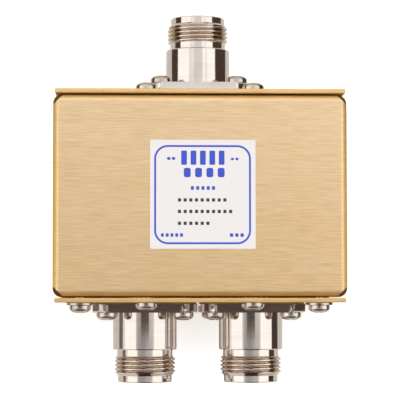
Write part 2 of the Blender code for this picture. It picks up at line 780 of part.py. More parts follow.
def build():
    """Model the whole splitter."""
    chromate = finish("chromated_aluminium", (0.72, 0.53, 0.28), 0.38, 0.9)
    nickel = finish("nickel_plate", (0.78, 0.74, 0.70), 0.22, 1.0)
    steel = finish("stainless_steel", (0.60, 0.57, 0.54), 0.30, 1.0)
    gold = finish("gold_plate", (0.90, 0.66, 0.26), 0.25, 1.0)
    bead = finish("white_plastic", (0.90, 0.89, 0.86), 0.45, 0.0)
    paper = finish("label_film", (0.93, 0.93, 0.92), 0.40, 0.0)
    laminate = finish("board_laminate", (0.10, 0.32, 0.16), 0.45, 0.0)
    brass = finish("brass", (0.75, 0.58, 0.30), 0.35, 1.0)
    ferrite = finish("ferrite", (0.06, 0.06, 0.065), 0.65, 0.0)
    copper = finish("tinned_copper", (0.80, 0.50, 0.34), 0.30, 1.0)
    ceramic = finish("resistor_body", (0.70, 0.60, 0.45), 0.55, 0.0)
    moulded = finish("capacitor_body", (0.55, 0.16, 0.08), 0.50, 0.0)

    build_chassis(chromate)
    build_cover(chromate)
    build_label(paper)
    build_receptacles(nickel, bead, gold, steel)
    build_cover_screws(steel)
    build_board(laminate, brass, steel)
    build_transformers(ferrite, copper)
    build_leads(copper)
    build_resistor(ceramic)
    build_capacitor(moulded)


clear_scene()
PARTS = new_collection("rf_power_splitter")
build()
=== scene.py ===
# %% [markdown]
# # The looks of a two-way RF power splitter
# The splitter is a box folded from yellow-chromated aluminium sheet. One coaxial receptacle sits on one
# end wall and two on the other. The solids already have their real sizes and places, so this lesson only
# dresses them: smooth bends, a cut thread, screw recesses, a printed label and the finish of each metal.
# The case lies on its back. +Z points out of the labelled cover and +Y out of the input receptacle.

# %% Load the fixed solids
import math

import bmesh
import bpy
import numpy as np
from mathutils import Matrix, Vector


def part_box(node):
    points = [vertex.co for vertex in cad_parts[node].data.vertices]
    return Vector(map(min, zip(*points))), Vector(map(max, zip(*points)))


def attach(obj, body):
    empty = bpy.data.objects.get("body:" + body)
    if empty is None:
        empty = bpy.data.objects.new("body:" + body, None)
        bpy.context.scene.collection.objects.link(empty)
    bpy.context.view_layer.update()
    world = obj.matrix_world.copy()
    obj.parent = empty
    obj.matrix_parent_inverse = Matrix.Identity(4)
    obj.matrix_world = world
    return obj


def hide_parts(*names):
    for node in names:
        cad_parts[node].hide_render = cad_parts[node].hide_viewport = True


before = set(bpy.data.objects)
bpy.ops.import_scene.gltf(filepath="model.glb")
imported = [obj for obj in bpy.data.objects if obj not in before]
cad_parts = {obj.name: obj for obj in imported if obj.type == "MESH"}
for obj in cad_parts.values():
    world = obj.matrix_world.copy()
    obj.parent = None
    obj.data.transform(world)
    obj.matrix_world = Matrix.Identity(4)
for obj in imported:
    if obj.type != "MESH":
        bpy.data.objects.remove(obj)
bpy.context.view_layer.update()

MM = 0.001

# %% [markdown]
# ## The camera
# The photograph looks at the cover from half a metre away, a little from the left and from the outputs'
# side. A long lens keeps the case's sides almost hidden, while each end wall still shows its edge. The
# lens is worked out from the focal length in pixels, because the picture is 400 pixels wide.

# %% Camera
PHOTO_SIDE = 400
FOCAL_PIXELS = 1788
SENSOR = 36.0
CAMERA_PLACE = (-16.13 * MM, -25.06 * MM, 490.61 * MM)
CAMERA_TURN = (3.037, -2.037, -0.036)


def new_object(name, data):
    """An object for a mesh, a lamp or the camera, put in the scene."""
    obj = bpy.data.objects.new(name, data)
    bpy.context.scene.collection.objects.link(obj)
    return obj


camera_data = bpy.data.cameras.new("camera")
camera_data.sensor_width = SENSOR
camera_data.lens = FOCAL_PIXELS / PHOTO_SIDE * SENSOR
camera = new_object("camera", camera_data)
camera.location = CAMERA_PLACE
camera.rotation_euler = [math.radians(angle) for angle in CAMERA_TURN]
bpy.context.scene.camera = camera
print("lens:", round(camera_data.lens, 1), "mm")

# %% [markdown]
# ## Sizes that come from the solids
# Every new piece takes its place from the box of the solid that it stands for. Typed in again, the
# places could drift from the solids. So the end walls' outer faces, the cover's front and the
# receptacles' axes are read once here, and all pieces use them.

# %% Places read from the solids
PORTS = {"input": 1, "output_left": -1, "output_right": -1}


def middle(node):
    """Middle of a solid's box."""
    low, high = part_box(node)
    return (low + high) / 2


cover_low, cover_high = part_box("cover")
chassis_low, chassis_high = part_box("chassis")
case_middle = middle("chassis")
port_middle = {port: middle(f"{port}_shell") for port in PORTS}
WALL_Y = chassis_high.y
FRONT_Z = cover_high.z
PORT_Z = port_middle["input"].z
SHELL_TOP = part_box("input_shell")[1].y - WALL_Y
print("wall, front and tip in mm:", [round(size / MM, 2) for size in (WALL_Y, FRONT_Z, SHELL_TOP)])

# %% [markdown]
# ## Surfaces from grids
# Each new piece is a grid of points worked out with numpy, because a formula puts every point where a
# drawing would. A grid may close on itself in one direction, as a turned part does, or in both. Points
# that fall together, as at a pole, are merged, and a closed piece then has its faces turned outwards.

# %% Grid helpers
MERGE = 1e-7
SHARP_DEGREES = 30


def grid_quads(rows, columns, wrap_rows=False, wrap_columns=False):
    """Corner numbers of the quads between neighbouring points of a grid, row by row."""
    number = np.arange(rows * columns).reshape(rows, columns)
    if wrap_rows:
        number = np.vstack([number, number[:1]])
    if wrap_columns:
        number = np.hstack([number, number[:, :1]])
    corners = [number[:-1, :-1], number[1:, :-1], number[1:, 1:], number[:-1, 1:]]
    return np.stack(corners, axis=-1).reshape(-1, 4)


def grid_mesh(name, points, wrap_rows=False, wrap_columns=False):
    """A mesh over a grid of points, with rows first."""
    quads = grid_quads(*points.shape[:2], wrap_rows, wrap_columns)
    mesh = bpy.data.meshes.new(name)
    mesh.from_pydata(points.reshape(-1, 3).tolist(), [], quads.tolist())
    return mesh


def closed_mesh(name, points, wrap_rows=True, marks=None, sharp_degrees=SHARP_DEGREES):
    """A smooth closed mesh over a grid whose columns meet, with a painted-shade value at each point
    where given.
    """
    mesh = grid_mesh(name, points, wrap_rows, True)
    if marks is not None:
        values = mesh.attributes.new("root_shade", "FLOAT", "POINT").data
        values.foreach_set("value", marks.astype(np.float32).ravel())
    bm = bmesh.new()
    bm.from_mesh(mesh)
    bmesh.ops.remove_doubles(bm, verts=bm.verts, dist=MERGE)
    bmesh.ops.dissolve_degenerate(bm, edges=bm.edges, dist=MERGE)
    bmesh.ops.recalc_face_normals(bm, faces=bm.faces)
    bm.to_mesh(mesh)
    bm.free()
    mesh.shade_smooth()
    mesh.set_sharp_from_angle(angle=math.radians(sharp_degrees))
    return mesh


def piece(mesh, material, slot, *nodes):
    """Put a finished piece on the case, in place of the solids that it stands for."""
    mesh.materials.clear()
    mesh.materials.append(material)
    obj = new_object(mesh.name, mesh)
    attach(obj, "root")
    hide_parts(*nodes)
    return obj


for closed in (False, True):
    print("quads in a 3 by 4 grid, closed", closed, len(grid_quads(3, 4, closed, closed)))

# %% [markdown]
# A turned part is a profile carried round an axis, as a lathe makes it. Its grid has one row for each
# point of the profile and one column for each angle. Parts on an end wall are worked out in the wall's
# own frame, whose third axis points out of the case, and are then turned to face the input's or the
# outputs' side.

# %% Turned parts
TURN_STEPS = 64


def angles_round(steps):
    """Equal angles once round an axis."""
    return np.linspace(0.0, 2 * np.pi, steps, endpoint=False)


def turn_points(radius, height, angle):
    """x = r cos a, y = r sin a, z = h, where r may differ at every angle."""
    radius = np.asarray(radius, float)
    if radius.ndim == 1:
        radius = radius[:, None] * np.ones_like(angle)
    level = np.asarray(height, float)[:, None] * np.ones_like(angle)
    return np.stack([radius * np.cos(angle), radius * np.sin(angle), level], axis=-1)


def turned(profile):
    """Points of a profile, given as pairs of radius and height, carried round its axis."""
    radius, height = np.transpose(profile)
    return turn_points(radius, height, angles_round(TURN_STEPS))


def on_end_wall(points, x, z, end):
    """Turn points from an end wall's frame into the case's: (x + a, +-(wall + c), z -+ b)."""
    out = [x + points[..., 0], end * (WALL_Y + points[..., 2]), z - end * points[..., 1]]
    return np.stack(out, axis=-1)


print("a ring of four points, turned:", turned([(1, 0), (2, 0), (2, 1), (1, 1)]).shape)

# %% [markdown]
# ## Shader helpers
# Materials are built from nodes, because noise has no seams and stays sharp near and far. One helper
# adds a node with its settings and inputs, others do arithmetic, mix colours and carry a value from one
# range to another, and one starts a node group with named sockets.

# %% Node helpers
ORIGIN = (0.0, 0.0, 0.0)


def add(tree, kind, sockets=None, **settings):
    """Add a node. An input is either linked to a socket or set to a value."""
    node = tree.nodes.new(kind)
    for key, value in settings.items():
        setattr(node, key, value)
    for key, value in (sockets or {}).items():
        if isinstance(value, bpy.types.NodeSocket):
            tree.links.new(value, node.inputs[key])
        else:
            node.inputs[key].default_value = value
    return node


def maths(tree, operation, *values):
    """The result of one Math node."""
    return add(tree, "ShaderNodeMath", dict(enumerate(values)), operation=operation).outputs[0]


def mixed(tree, share, first, second, blend="MIX"):
    """A colour between two colours, or with one laid over the other."""
    sockets = {0: share, 6: first, 7: second}
    return add(tree, "ShaderNodeMix", sockets, data_type="RGBA", blend_type=blend).outputs[2]


def spread(tree, value, start, stop, low=0.0, high=1.0, curve="LINEAR"):
    """Carry a value from one range to another, without going past its ends."""
    sockets = {"Value": value, "From Min": low, "From Max": high, "To Min": start, "To Max": stop}
    return add(tree, "ShaderNodeMapRange", sockets, interpolation_type=curve).outputs[0]


def new_group(name, inputs, outputs):
    """An empty shader node group. An input with one number is a value, and one with three a vector."""
    group = bpy.data.node_groups.new(name, "ShaderNodeTree")
    for label, value in inputs.items():
        kind = "NodeSocketVector" if isinstance(value, tuple) else "NodeSocketFloat"
        group.interface.new_socket(label, in_out="INPUT", socket_type=kind).default_value = value
    for label in outputs:
        group.interface.new_socket(label, in_out="OUTPUT", socket_type="NodeSocketFloat")
    print("group:", name, "with", len(inputs), "inputs and outputs", outputs)
    return group, group.nodes.new("NodeGroupInput").outputs, group.nodes.new("NodeGroupOutput").inputs


def new_material(name, base, roughness, metallic):
    """A material, its node tree, its Principled shader and object coordinates."""
    material = bpy.data.materials.new(name)
    material.use_nodes = True
    tree = material.node_tree
    shader = tree.nodes["Principled BSDF"]
    shader.inputs["Base Color"].default_value = (*base, 1.0)
    shader.inputs["Roughness"].default_value = roughness
    shader.inputs["Metallic"].default_value = metallic
    place = tree.nodes.new("ShaderNodeTexCoord").outputs["Object"]
    material.diffuse_color = (*base, 1.0)
    return material, tree, shader, place


def bumped(tree, shader, height, strength, depth):
    """Feed a height to the shader as fine relief."""
    sockets = {"Height": height, "Strength": strength, "Distance": depth}
    bump = add(tree, "ShaderNodeBump", sockets)
    tree.links.new(bump.outputs["Normal"], shader.inputs["Normal"])


print("node helpers:", [helper.__name__ for helper in (add, maths, mixed, spread, bumped)])

# %% [markdown]
# ## The grain group
# Rolled and brushed sheet, turned metal and worn paint all show lines or blotches that differ only in
# how far they are stretched along each axis. One group makes them: fine lines, broad bands and slow
# blotches. Each material gives it its own stretches, in cycles for each metre.

# %% Grain group
grain_group, inside, outside = new_group(
    "grain",
    {"Place": ORIGIN, "Line Stretch": (100.0,) * 3, "Band Stretch": (20.0,) * 3, "Blotch": 60.0},
    ("Lines", "Bands", "Blotches"),
)
for label, stretch, scale, detail in (
    ("Lines", inside["Line Stretch"], 1.0, 4.0),
    ("Bands", inside["Band Stretch"], 1.0, 2.0),
    ("Blotches", (1.0,) * 3, inside["Blotch"], 3.0),
):
    vector = add(grain_group, "ShaderNodeVectorMath", {0: inside["Place"], 1: stretch},
                 operation="MULTIPLY").outputs[0]
    noise = add(grain_group, "ShaderNodeTexNoise", {"Vector": vector, "Scale": scale, "Detail": detail})
    grain_group.links.new(noise.outputs[0], outside[label])


def grain(tree, place, line_stretch, band_stretch, blotch):
    """Place the grain group in a material and return its outputs."""
    sockets = {"Place": place, "Line Stretch": line_stretch, "Band Stretch": band_stretch,
               "Blotch": blotch}
    return add(tree, "ShaderNodeGroup", sockets, node_tree=grain_group).outputs


# %% [markdown]
# ## Painted shade on the chromate
# The chromate's colour carries painted shade in three kinds of place. The bends and the sides, which
# face away from Z, are darkened and browned. The narrow corner notches and the seam along each end wall
# are painted dark brown, as shade. And the sheet is darker and yellower towards one end along Y: the
# outputs' end of the cover, where it is painted shade, and the input's end of the chassis. Paint by hand
# would have to be done again whenever a size changes, so a group finds these places from the surface's
# direction, the distance to the notches and the place along Y.

# %% Painted shade group
FAR = 1.0
BEND_FACING = (0.86, 0.990)
NOTCH_EDGE = (0.85, 1.15)
NOTCH_FADE = 5 * MM
END_SHADE_REACH = 26 * MM
SEAM_EDGE = (-0.2 * MM, 0.1 * MM)
shade_group, inside, outside = new_group(
    "chromate_shade",
    {"Place": ORIGIN, "Facing": ORIGIN, "Notch X": FAR, "Notch Y": FAR, "Notch Top": FAR,
     "Notch Size": 1 * MM, "Seam Y": FAR},
    ("Turned", "Notch", "End Shade", "Seam"),
)
# Turned: how far the surface faces away from Z, for painted shade on the bends and sides
parts = add(shade_group, "ShaderNodeSeparateXYZ", {0: inside["Facing"]}).outputs
upright = maths(shade_group, "ABSOLUTE", parts["Z"])
shade_group.links.new(spread(shade_group, upright, 1.0, 0.0, *BEND_FACING), outside["Turned"])
# Notch: painted shade round each corner notch, fading below its top
parts = add(shade_group, "ShaderNodeSeparateXYZ", {0: inside["Place"]}).outputs
away = []
for axis in ("X", "Y"):
    past = maths(shade_group, "ABSOLUTE", parts[axis])
    past = maths(shade_group, "SUBTRACT", past, inside[f"Notch {axis}"])
    away.append(maths(shade_group, "POWER", maths(shade_group, "ABSOLUTE", past), 2.0))
away = maths(shade_group, "SQRT", maths(shade_group, "ADD", *away))
away = maths(shade_group, "DIVIDE", away, inside["Notch Size"])
near = spread(shade_group, away, 1.0, 0.0, *NOTCH_EDGE, "SMOOTHSTEP")
below = maths(shade_group, "SUBTRACT", inside["Notch Top"], parts["Z"])
under = maths(shade_group, "GREATER_THAN", below, 0.0)
fading = spread(shade_group, below, 1.0, 0.0, 0.0, NOTCH_FADE, "SMOOTHSTEP")
notch_shade = maths(shade_group, "MULTIPLY", near, maths(shade_group, "MULTIPLY", under, fading))
shade_group.links.new(notch_shade, outside["Notch"])
# End Shade: a ramp along Y, one at the outputs' end, for the painted shade towards one end
end_shade = spread(shade_group, parts["Y"], 1.0, 0.0, -END_SHADE_REACH, END_SHADE_REACH)
shade_group.links.new(end_shade, outside["End Shade"])
# Seam: painted shade along the seam at the end walls
past_seam = maths(shade_group, "SUBTRACT", maths(shade_group, "ABSOLUTE", parts["Y"]), inside["Seam Y"])
shade_group.links.new(spread(shade_group, past_seam, 0.0, 1.0, *SEAM_EDGE), outside["Seam"])

# %% [markdown]
# ## Chromated aluminium
# The sheet is rolled and brushed, so it carries fine pale and dark lines along X, and the yellow
# chromate over it shifts between straw, peach and olive from band to band. The lines run down the
# cover's sides, because they were folded down from the same sheet. The finish is satin, and duller on
# the bends: what it faces shows in it only as a glow.

# %% Chromate materials
COVER_GRAIN = ((170.0, 2900.0, 170.0), (16.0, 520.0, 16.0))
CHASSIS_GRAIN = ((170.0, 2900.0, 2900.0), (16.0, 520.0, 520.0))
CHROMATE_BLOTCH = 70.0
NOISE_LOW, NOISE_HIGH = 0.30, 0.70
OLIVE_SHARE, OLIVE_START = 0.55, 0.38
BEND_SHADE_TINT = (0.90, 0.87, 0.60, 1.0)
END_SHADE_TINT = (1.0, 0.965, 0.86, 1.0)
CREVICE_SHADE_BROWN = (0.16, 0.075, 0.028, 1.0)
DARK_LINE = (0.89, 0.88, 0.86, 1.0)
PALE_LINE = (1.07, 1.08, 1.10, 1.0)
SATIN = (0.34, 0.46)
BEND_DULLNESS = 0.25
BRUSH_STRENGTH, BRUSH_DEPTH = 0.2, 0.03 * MM
# Where the cover's painted shade goes: its corner notches and the seam along its lips
COVER_SHADE_PLACES = {"Notch X": 36.1 * MM, "Notch Y": 24.3 * MM, "Notch Top": 39.3 * MM, "Notch Size": 2.0 * MM,
              "Seam Y": cover_high.y}


def chromate(name, straw, peach, olive, stretches, end_shade, shade_places):
    """Yellow chromate over brushed sheet, with its grain stretched along X."""
    material, tree, shader, place = new_material(name, straw, 0.5, 1.0)
    marks = grain(tree, place, *stretches, CHROMATE_BLOTCH)
    line = spread(tree, marks["Lines"], 0.0, 1.0, NOISE_LOW, NOISE_HIGH)
    band = spread(tree, marks["Bands"], 0.0, OLIVE_SHARE, OLIVE_START, NOISE_HIGH)
    blotch = spread(tree, marks["Blotches"], 0.0, 1.0, NOISE_LOW, NOISE_HIGH)
    colour = mixed(tree, blotch, (*straw, 1.0), (*peach, 1.0))
    colour = mixed(tree, band, colour, (*olive, 1.0))
    colour = mixed(tree, 1.0, colour, mixed(tree, line, DARK_LINE, PALE_LINE), "MULTIPLY")
    sockets = {"Place": place, "Facing": place.node.outputs["Normal"], **shade_places}
    shade_masks = add(tree, "ShaderNodeGroup", sockets, node_tree=shade_group).outputs
    # Painted shade towards one end along Y: the outputs' end of the cover; on the chassis the input's
    # end is darkened the same way
    share = spread(tree, shade_masks["End Shade"], *end_shade)
    colour = mixed(tree, share, colour, mixed(tree, 1.0, colour, END_SHADE_TINT, "MULTIPLY"))
    # Painted shade: the bends and sides are darkened and browned by how far they face away from Z
    colour = mixed(tree, shade_masks["Turned"], colour, mixed(tree, 1.0, colour, BEND_SHADE_TINT, "MULTIPLY"))
    # Painted shade: dark brown in the corner notches and along the seam at the end walls
    colour = mixed(tree, maths(tree, "MAXIMUM", shade_masks["Notch"], shade_masks["Seam"]), colour, CREVICE_SHADE_BROWN)
    tree.links.new(colour, shader.inputs["Base Color"])
    rough = maths(tree, "MULTIPLY", shade_masks["Turned"], BEND_DULLNESS)
    rough = maths(tree, "ADD", rough, spread(tree, marks["Lines"], *SATIN))
    tree.links.new(rough, shader.inputs["Roughness"])
    bumped(tree, shader, marks["Lines"], BRUSH_STRENGTH, BRUSH_DEPTH)
    return material


cover_finish = chromate("chromate_cover", (0.97, 0.715, 0.43), (0.99, 0.74, 0.48), (0.93, 0.665, 0.37),
                        COVER_GRAIN, (0.0, 1.0), COVER_SHADE_PLACES)
chassis_finish = chromate("chromate_chassis", (0.95, 0.66, 0.32), (0.98, 0.69, 0.36), (0.88, 0.60, 0.26),
                          CHASSIS_GRAIN, (1.0, 0.0), {})
print("materials:", cover_finish.name, chassis_finish.name)

# %% [markdown]
# ## Plated and plain metals
# The receptacles are turned and nickel plated, so their lines run round the Y axis. The roots of their
# threads get painted shade, a dark brown, where each shell's own mesh carries a value for it. The screws
# are stainless and tumbled, with blotches but no lines. Gold, brass and tinned copper follow the same
# recipe: two near colours, a roughness that wanders a little, and very fine relief.

# %% Metal materials
METAL_MIX = (-0.2, 2.4)
METAL_BLOTCH = 250.0
METAL_DEPTH = 0.01 * MM
ROOT_SHADE_SHARE = 0.85
ROOT_SHADE_START = 0.40


def metal(name, light, dark, roughness, stretches, relief=0.05, root_shade_colour=None):
    """A metal between two near colours, with grain of the given stretch and painted shade where it is
    marked.
    """
    material, tree, shader, place = new_material(name, light, sum(roughness) / 2, 1.0)
    marks = grain(tree, place, *stretches, METAL_BLOTCH)
    share = maths(tree, "MULTIPLY", marks["Blotches"], marks["Bands"])
    colour = mixed(tree, spread(tree, share, *METAL_MIX), (*light, 1.0), (*dark, 1.0))
    if root_shade_colour:
        # Painted shade: dark brown where the shell's mesh marks its thread roots
        root_shade = add(tree, "ShaderNodeAttribute", attribute_name="root_shade").outputs["Fac"]
        root_shade = spread(tree, root_shade, 0.0, ROOT_SHADE_SHARE, ROOT_SHADE_START, 1.0)
        colour = mixed(tree, root_shade, colour, (*root_shade_colour, 1.0))
    tree.links.new(colour, shader.inputs["Base Color"])
    tree.links.new(spread(tree, marks["Lines"], *roughness), shader.inputs["Roughness"])
    bumped(tree, shader, marks["Lines"], relief, METAL_DEPTH)
    return material


TURNED = ((60.0, 5200.0, 60.0), (40.0, 900.0, 40.0))
TUMBLED = ((900.0, 900.0, 900.0), (200.0, 200.0, 200.0))
nickel = metal("nickel_plate", (0.79, 0.715, 0.67), (0.71, 0.63, 0.575), (0.05, 0.12), TURNED, 0.03,
               root_shade_colour=(0.40, 0.26, 0.15))
steel = metal("stainless_steel", (0.72, 0.64, 0.58), (0.48, 0.40, 0.34), (0.10, 0.20), TUMBLED)
gold = metal("gold_plate", (0.93, 0.70, 0.30), (0.84, 0.58, 0.20), (0.16, 0.28), TURNED)
brass = metal("brass", (0.82, 0.64, 0.34), (0.70, 0.50, 0.24), (0.22, 0.38), TUMBLED)
copper = metal("tinned_copper", (0.84, 0.60, 0.46), (0.70, 0.42, 0.30), (0.22, 0.36), TUMBLED)
print("metals:", [made.name for made in (nickel, steel, gold, brass, copper)])

# %% [markdown]
# ## Plastics, ferrite and laminate
# What isn't metal inside the case is mostly dull. A common recipe covers the insulators, the board, the
# ferrite cores, the resistor and the capacitor: blotches in the colour and a soft, uneven surface.

# %% Dull materials
DULL_MIX = (-0.4, 1.4)
DULL_DEPTH = 0.02 * MM
LINES_FINER, BANDS_FINER = 6, 2


def dull(name, light, dark, roughness, blotch, relief=0.08):
    """A plastic or ceramic between two near colours."""
    material, tree, shader, place = new_material(name, light, sum(roughness) / 2, 0.0)
    marks = grain(tree, place, (blotch * LINES_FINER,) * 3, (blotch * BANDS_FINER,) * 3, blotch)
    colour = mixed(tree, spread(tree, marks["Blotches"], *DULL_MIX), (*light, 1.0), (*dark, 1.0))
    tree.links.new(colour, shader.inputs["Base Color"])
    tree.links.new(spread(tree, marks["Lines"], *roughness), shader.inputs["Roughness"])
    bumped(tree, shader, marks["Lines"], relief, DULL_DEPTH)
    return material


bead_plastic = dull("white_plastic", (0.88, 0.87, 0.84), (0.80, 0.78, 0.74), (0.35, 0.50), 300.0)
laminate = dull("board_laminate", (0.09, 0.30, 0.15), (0.05, 0.22, 0.10), (0.35, 0.55), 180.0)
ferrite = dull("ferrite", (0.075, 0.075, 0.08), (0.04, 0.04, 0.045), (0.50, 0.80), 700.0, 0.2)
ceramic = dull("resistor_body", (0.70, 0.60, 0.45), (0.60, 0.49, 0.34), (0.40, 0.60), 500.0)
moulding = dull("capacitor_body", (0.55, 0.17, 0.09), (0.44, 0.12, 0.06), (0.35, 0.55), 400.0)
print("dull:", [made.name for made in (bead_plastic, laminate, ferrite, ceramic, moulding)])

# %% [markdown]
# ## The folded cover
# The real cover starts as a flat blank. Its sides and short lips are folded down round the front, and
# tabs at the sides' ends are folded round the corners. The same is done here with numpy: positions
# along the blank are carried over each bend. The four corners are then cut off at 45 degrees, and the
# surface gets its sheet thickness and a small break along its edges. Modelling the fold, and not a box
# with rounded edges, is what gives the slits and cuts their right place.

# %% Bend formula
BEND_STEPS = 12
FRONT_STATIONS = 15
COVER_SHEET = 1.0 * MM
COVER_BEND = 1.75 * MM
TAB_BEND = 2.2 * MM
CORNER_CUT = 2.8 * MM
SLIT = 0.3 * MM
LIP_DEPTH = 6.775 * MM
TAB_EDGE_X = 27.9 * MM
LIP_EDGE_X = 26.9 * MM
LIP_SEAT = 0.2 * MM


def bend(half, radius):
    """Positions and drops along a quarter bend that ends at the given half width.

    position = half - radius + radius sin a, drop = radius (1 - cos a)
    """
    turn = np.linspace(0.0, np.pi / 2, BEND_STEPS + 1)[1:]
    return half - radius + radius * np.sin(turn), radius * (1 - np.cos(turn))


def across(half, radius, breaks):
    """Positions and drops over a bend, the flat between, and the other bend."""
    flat = half - radius
    stations = np.concatenate([np.linspace(-flat, flat, FRONT_STATIONS), breaks, np.negative(breaks)])
    stations = np.unique(np.round(stations, 9))
    position, drop = bend(half, radius)
    positions = np.concatenate([-position[::-1], stations, position])
    drops = np.concatenate([drop[::-1], np.zeros(len(stations)), drop])
    return positions, drops


print("last drop of a bend:", round(bend(1.0, COVER_BEND)[1][-1] / MM, 2), "mm, its radius")

# %% Front with its bends
half_x = cover_high.x
half_y = cover_high.y + LIP_SEAT
side_end = half_y - CORNER_CUT
x_run, x_drop = across(half_x, COVER_BEND, [LIP_EDGE_X])
y_run, y_drop = across(half_y, COVER_BEND, [side_end])
front = np.stack(np.broadcast_arrays(x_run[:, None], y_run[None, :],
                                     FRONT_Z - x_drop[:, None] - y_drop[None, :]), axis=-1)
bend_z = FRONT_Z - COVER_BEND
print("front grid:", front.shape[:2])

# %% Sides with tabs, and lips
SIDE_LEVELS = 9


def side_paths(side):
    """The whole run of one side with its tabs, and the stretch that joins the bend above."""
    turn = np.linspace(0.0, np.pi / 2, BEND_STEPS + 1)
    corner_x = half_x - TAB_BEND + TAB_BEND * np.cos(turn)
    corner_y = half_y - TAB_BEND + TAB_BEND * np.sin(turn)
    joined = y_run[np.abs(y_run) <= side_end + MERGE]
    long_x = np.full(len(joined), half_x)
    x = np.concatenate([[TAB_EDGE_X], corner_x[::-1], long_x, corner_x, [TAB_EDGE_X]])
    y = np.concatenate([[-half_y], -corner_y[::-1], joined, corner_y, [half_y]])
    return np.stack([side * x, y], axis=-1), np.stack([side * long_x, joined], axis=-1)


def wall(path, levels):
    """Carry a path in X and Y through the given heights."""
    flat = np.broadcast_to(path[:, None, :], (len(path), len(levels), 2))
    height = np.broadcast_to(np.asarray(levels)[None, :, None], (len(path), len(levels), 1))
    return np.concatenate([flat, height], axis=-1)


tab_top = bend_z - SLIT
side_levels = np.linspace(cover_low.z, tab_top, SIDE_LEVELS)
cover_grids = []
for side in (-1, 1):
    whole, upper = side_paths(side)
    cover_grids += [wall(whole, side_levels), wall(upper, [tab_top, bend_z])]
lip_x = x_run[np.abs(x_run) <= LIP_EDGE_X + MERGE]
for end in (-1, 1):
    lip = np.stack([lip_x, np.full(len(lip_x), end * half_y)], axis=-1)
    cover_grids.append(wall(lip, [FRONT_Z - LIP_DEPTH, bend_z]))
print("walls and lips:", len(cover_grids))

# %% Weld, cut the corners and give the sheet its thickness
EDGE_BREAK = 0.18 * MM
EDGE_DEGREES = 40


def add_grid(bm, points):
    """Add a grid of points to a bmesh."""
    mesh = grid_mesh("grid", points)
    bm.from_mesh(mesh)
    bpy.data.meshes.remove(mesh)


def cut_corners(bm):
    """Cut off the four front corners, outside planes at 45 degrees."""
    for side_x in (-1, 1):
        for side_y in (-1, 1):
            cut = (side_x * (half_x - CORNER_CUT), side_y * half_y, 0.0)
            bmesh.ops.bisect_plane(bm, geom=bm.verts[:] + bm.edges[:] + bm.faces[:], dist=MERGE,
                                   plane_co=cut, plane_no=(side_x, side_y, 0.0), clear_outer=True)


def sheet_piece(name, bm, thickness, material, node):
    """Turn an open outer surface into sheet metal with broken edges."""
    bmesh.ops.remove_doubles(bm, verts=bm.verts, dist=10 * MERGE)
    bmesh.ops.recalc_face_normals(bm, faces=bm.faces)
    outwards = sum(face.normal.dot(face.calc_center_median() - case_middle) for face in bm.faces)
    if outwards < 0:
        bmesh.ops.reverse_faces(bm, faces=bm.faces)
    mesh = bpy.data.meshes.new(name)
    bm.to_mesh(mesh)
    bm.free()
    mesh.shade_smooth()
    obj = piece(mesh, material, "chromated_aluminium", node)
    thick = obj.modifiers.new("sheet", "SOLIDIFY")
    thick.thickness = thickness
    thick.offset = -1.0
    thick.use_even_offset = True
    rounded = obj.modifiers.new("edge break", "BEVEL")
    rounded.width = EDGE_BREAK
    rounded.segments = 2
    rounded.limit_method = "ANGLE"
    rounded.angle_limit = math.radians(EDGE_DEGREES)
    weighted = obj.modifiers.new("flat shading on flats", "WEIGHTED_NORMAL")
    weighted.keep_sharp = True
    print(name, "faces before its thickness:", len(mesh.polygons))


bm = bmesh.new()
add_grid(bm, front)
cut_corners(bm)
for points in cover_grids:
    add_grid(bm, points)
sheet_piece("folded_cover", bm, COVER_SHEET, cover_finish, "cover")

# %% [markdown]
# ## The chassis
# The chassis is a U of thicker sheet: the back and the two end walls. It could be a plane that modifiers
# bend, but one profile in Y and Z, with two bends, carried along X, is exact. Its edges are what the
# photograph shows as bright strips above and below the cover, so they get a small break that catches the
# light. The sheet is a tenth of a millimetre thinner than the solid's, as the strips show it.

# %% Chassis
CHASSIS_SHEET = 1.17 * MM
CHASSIS_BEND = 1.67 * MM
WALL_STATIONS, BACK_STATIONS, WIDE_STATIONS = 6, 9, 13
heel_y, heel_rise = bend(WALL_Y, CHASSIS_BEND)
back_y = np.linspace(-(WALL_Y - CHASSIS_BEND), WALL_Y - CHASSIS_BEND, BACK_STATIONS)
wall_y = np.full(WALL_STATIONS, WALL_Y)
wall_z = np.linspace(CHASSIS_BEND, chassis_high.z, WALL_STATIONS + 1)[1:]
profile_x = np.linspace(chassis_low.x, chassis_high.x, WIDE_STATIONS)
profile_y = np.concatenate([-wall_y, -heel_y[::-1], back_y, heel_y, wall_y])
profile_z = np.concatenate([wall_z[::-1], heel_rise[::-1], np.zeros(BACK_STATIONS), heel_rise, wall_z])
bm = bmesh.new()
add_grid(bm, np.stack(np.broadcast_arrays(profile_x, profile_y[:, None], profile_z[:, None]), axis=-1))
sheet_piece("folded_chassis", bm, CHASSIS_SHEET, chassis_finish, "chassis")

# %% [markdown]
# ## The receptacle shells
# A shell is turned from round bar, then its flange is milled square and its thread is cut. That order
# gives a formula. The radius at each height and angle is the smallest of three: the turned blank, the
# thread form, and the four milled flats. The thread's crest climbs one pitch a turn, and plating has
# rounded its crest and root. Where it meets the chamfer at the tip and the undercut below, it runs out
# by itself, as a real one does.

